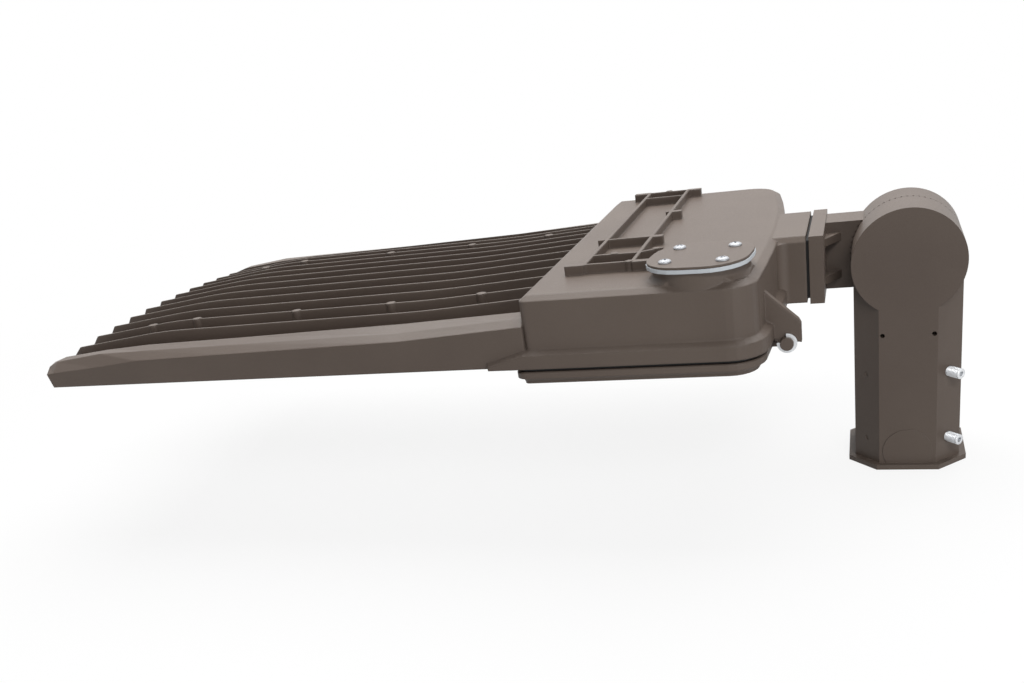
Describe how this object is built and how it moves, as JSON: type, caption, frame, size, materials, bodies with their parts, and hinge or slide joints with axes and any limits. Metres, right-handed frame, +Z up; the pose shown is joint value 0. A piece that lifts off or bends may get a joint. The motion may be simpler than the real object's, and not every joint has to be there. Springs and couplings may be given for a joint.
{
  "type": "shoebox area light",
  "caption": "Flat rectangular outdoor area light with a finned heat-sink head, a rear driver box with a hinged door below it, and a tilting slip fitter that clamps on a pole tenon.",
  "frame": {"origin": "centre of the slip fitter's mouth, where the pole tenon enters", "axes": "+Z up along the pole, the head reaches out along -X, the knuckle and the door turn about Y"},
  "size_m": [0.7251, 0.343, 0.2035],
  "materials": {
    "bronze": "satin",
    "zinc": "satin",
    "seal_grey": "matte",
    "seal_black": "matte",
    "casing": "satin",
    "board": "matte",
    "chip": "gloss",
    "lens": "gloss",
    "black_plastic": "matte",
    "white_plastic": "matte",
    "green_screw": "satin"
  },
  "bodies": {
    "slip_fitter": {"slip_fitter_tube": "bronze", "pivot_bolt": "zinc", "pivot_lock_washer": "zinc", "pivot_washer": "zinc", "knuckle_seal": "seal_black"},
    "head": {"knuckle_arm": "bronze", "flange_gasket": "seal_black", "flange_bolts": "zinc", "flange_washers": "zinc", "housing": "bronze", "wire_grommet": "seal_black", "cover_gasket": "seal_grey", "receptacle_cover": "bronze", "cover_screws": "zinc", "hinge_pins": "bronze", "pin_clips": "zinc", "led_driver_front": "casing", "led_driver_back": "casing", "driver_screws": "zinc", "surge_protector": "black_plastic", "terminal_block": "white_plastic", "ground_screw": "green_screw", "led_boards": "board", "led_chips": "chip", "lens_array_1": "lens", "lens_array_2": "lens", "lens_array_3": "lens", "lens_array_4": "lens", "lens_gaskets": "seal_black", "lens_screws": "zinc"},
    "door": {"driver_door": "bronze", "door_gasket": "seal_black"},
    "set_screw_upper": {"set_screw_upper": "zinc"},
    "set_screw_lower": {"set_screw_lower": "zinc"},
    "door_screw_near": {"door_screw_near": "zinc"},
    "door_screw_far": {"door_screw_far": "zinc"}
  },
  "joints": [
    {"name": "knuckle_tilt", "type": "hinge", "parent": "slip_fitter", "child": "head", "pos_m": [0, 0, 0.1612], "axis": [0, 1, 0], "range_deg": [-12, 90]},
    {"name": "door_hinge", "type": "hinge", "parent": "head", "child": "door", "pos_m": [-0.08, 0, 0.1345], "axis": [0, -1, 0], "range_deg": [0, 90]},
    {"name": "set_screw_upper_slide", "type": "slide", "parent": "slip_fitter", "child": "set_screw_upper", "axis": [-0.7071, 0.7071, 0], "range_m": [-0.004, 0.011]},
    {"name": "set_screw_lower_slide", "type": "slide", "parent": "slip_fitter", "child": "set_screw_lower", "axis": [-0.7071, 0.7071, 0], "range_m": [-0.004, 0.011]},
    {"name": "door_screw_near_slide", "type": "slide", "parent": "door", "child": "door_screw_near", "axis": [0, 0, -1], "range_m": [0, 0.008]},
    {"name": "door_screw_far_slide", "type": "slide", "parent": "door", "child": "door_screw_far", "axis": [0, 0, -1], "range_m": [0, 0.008]}
  ]
}
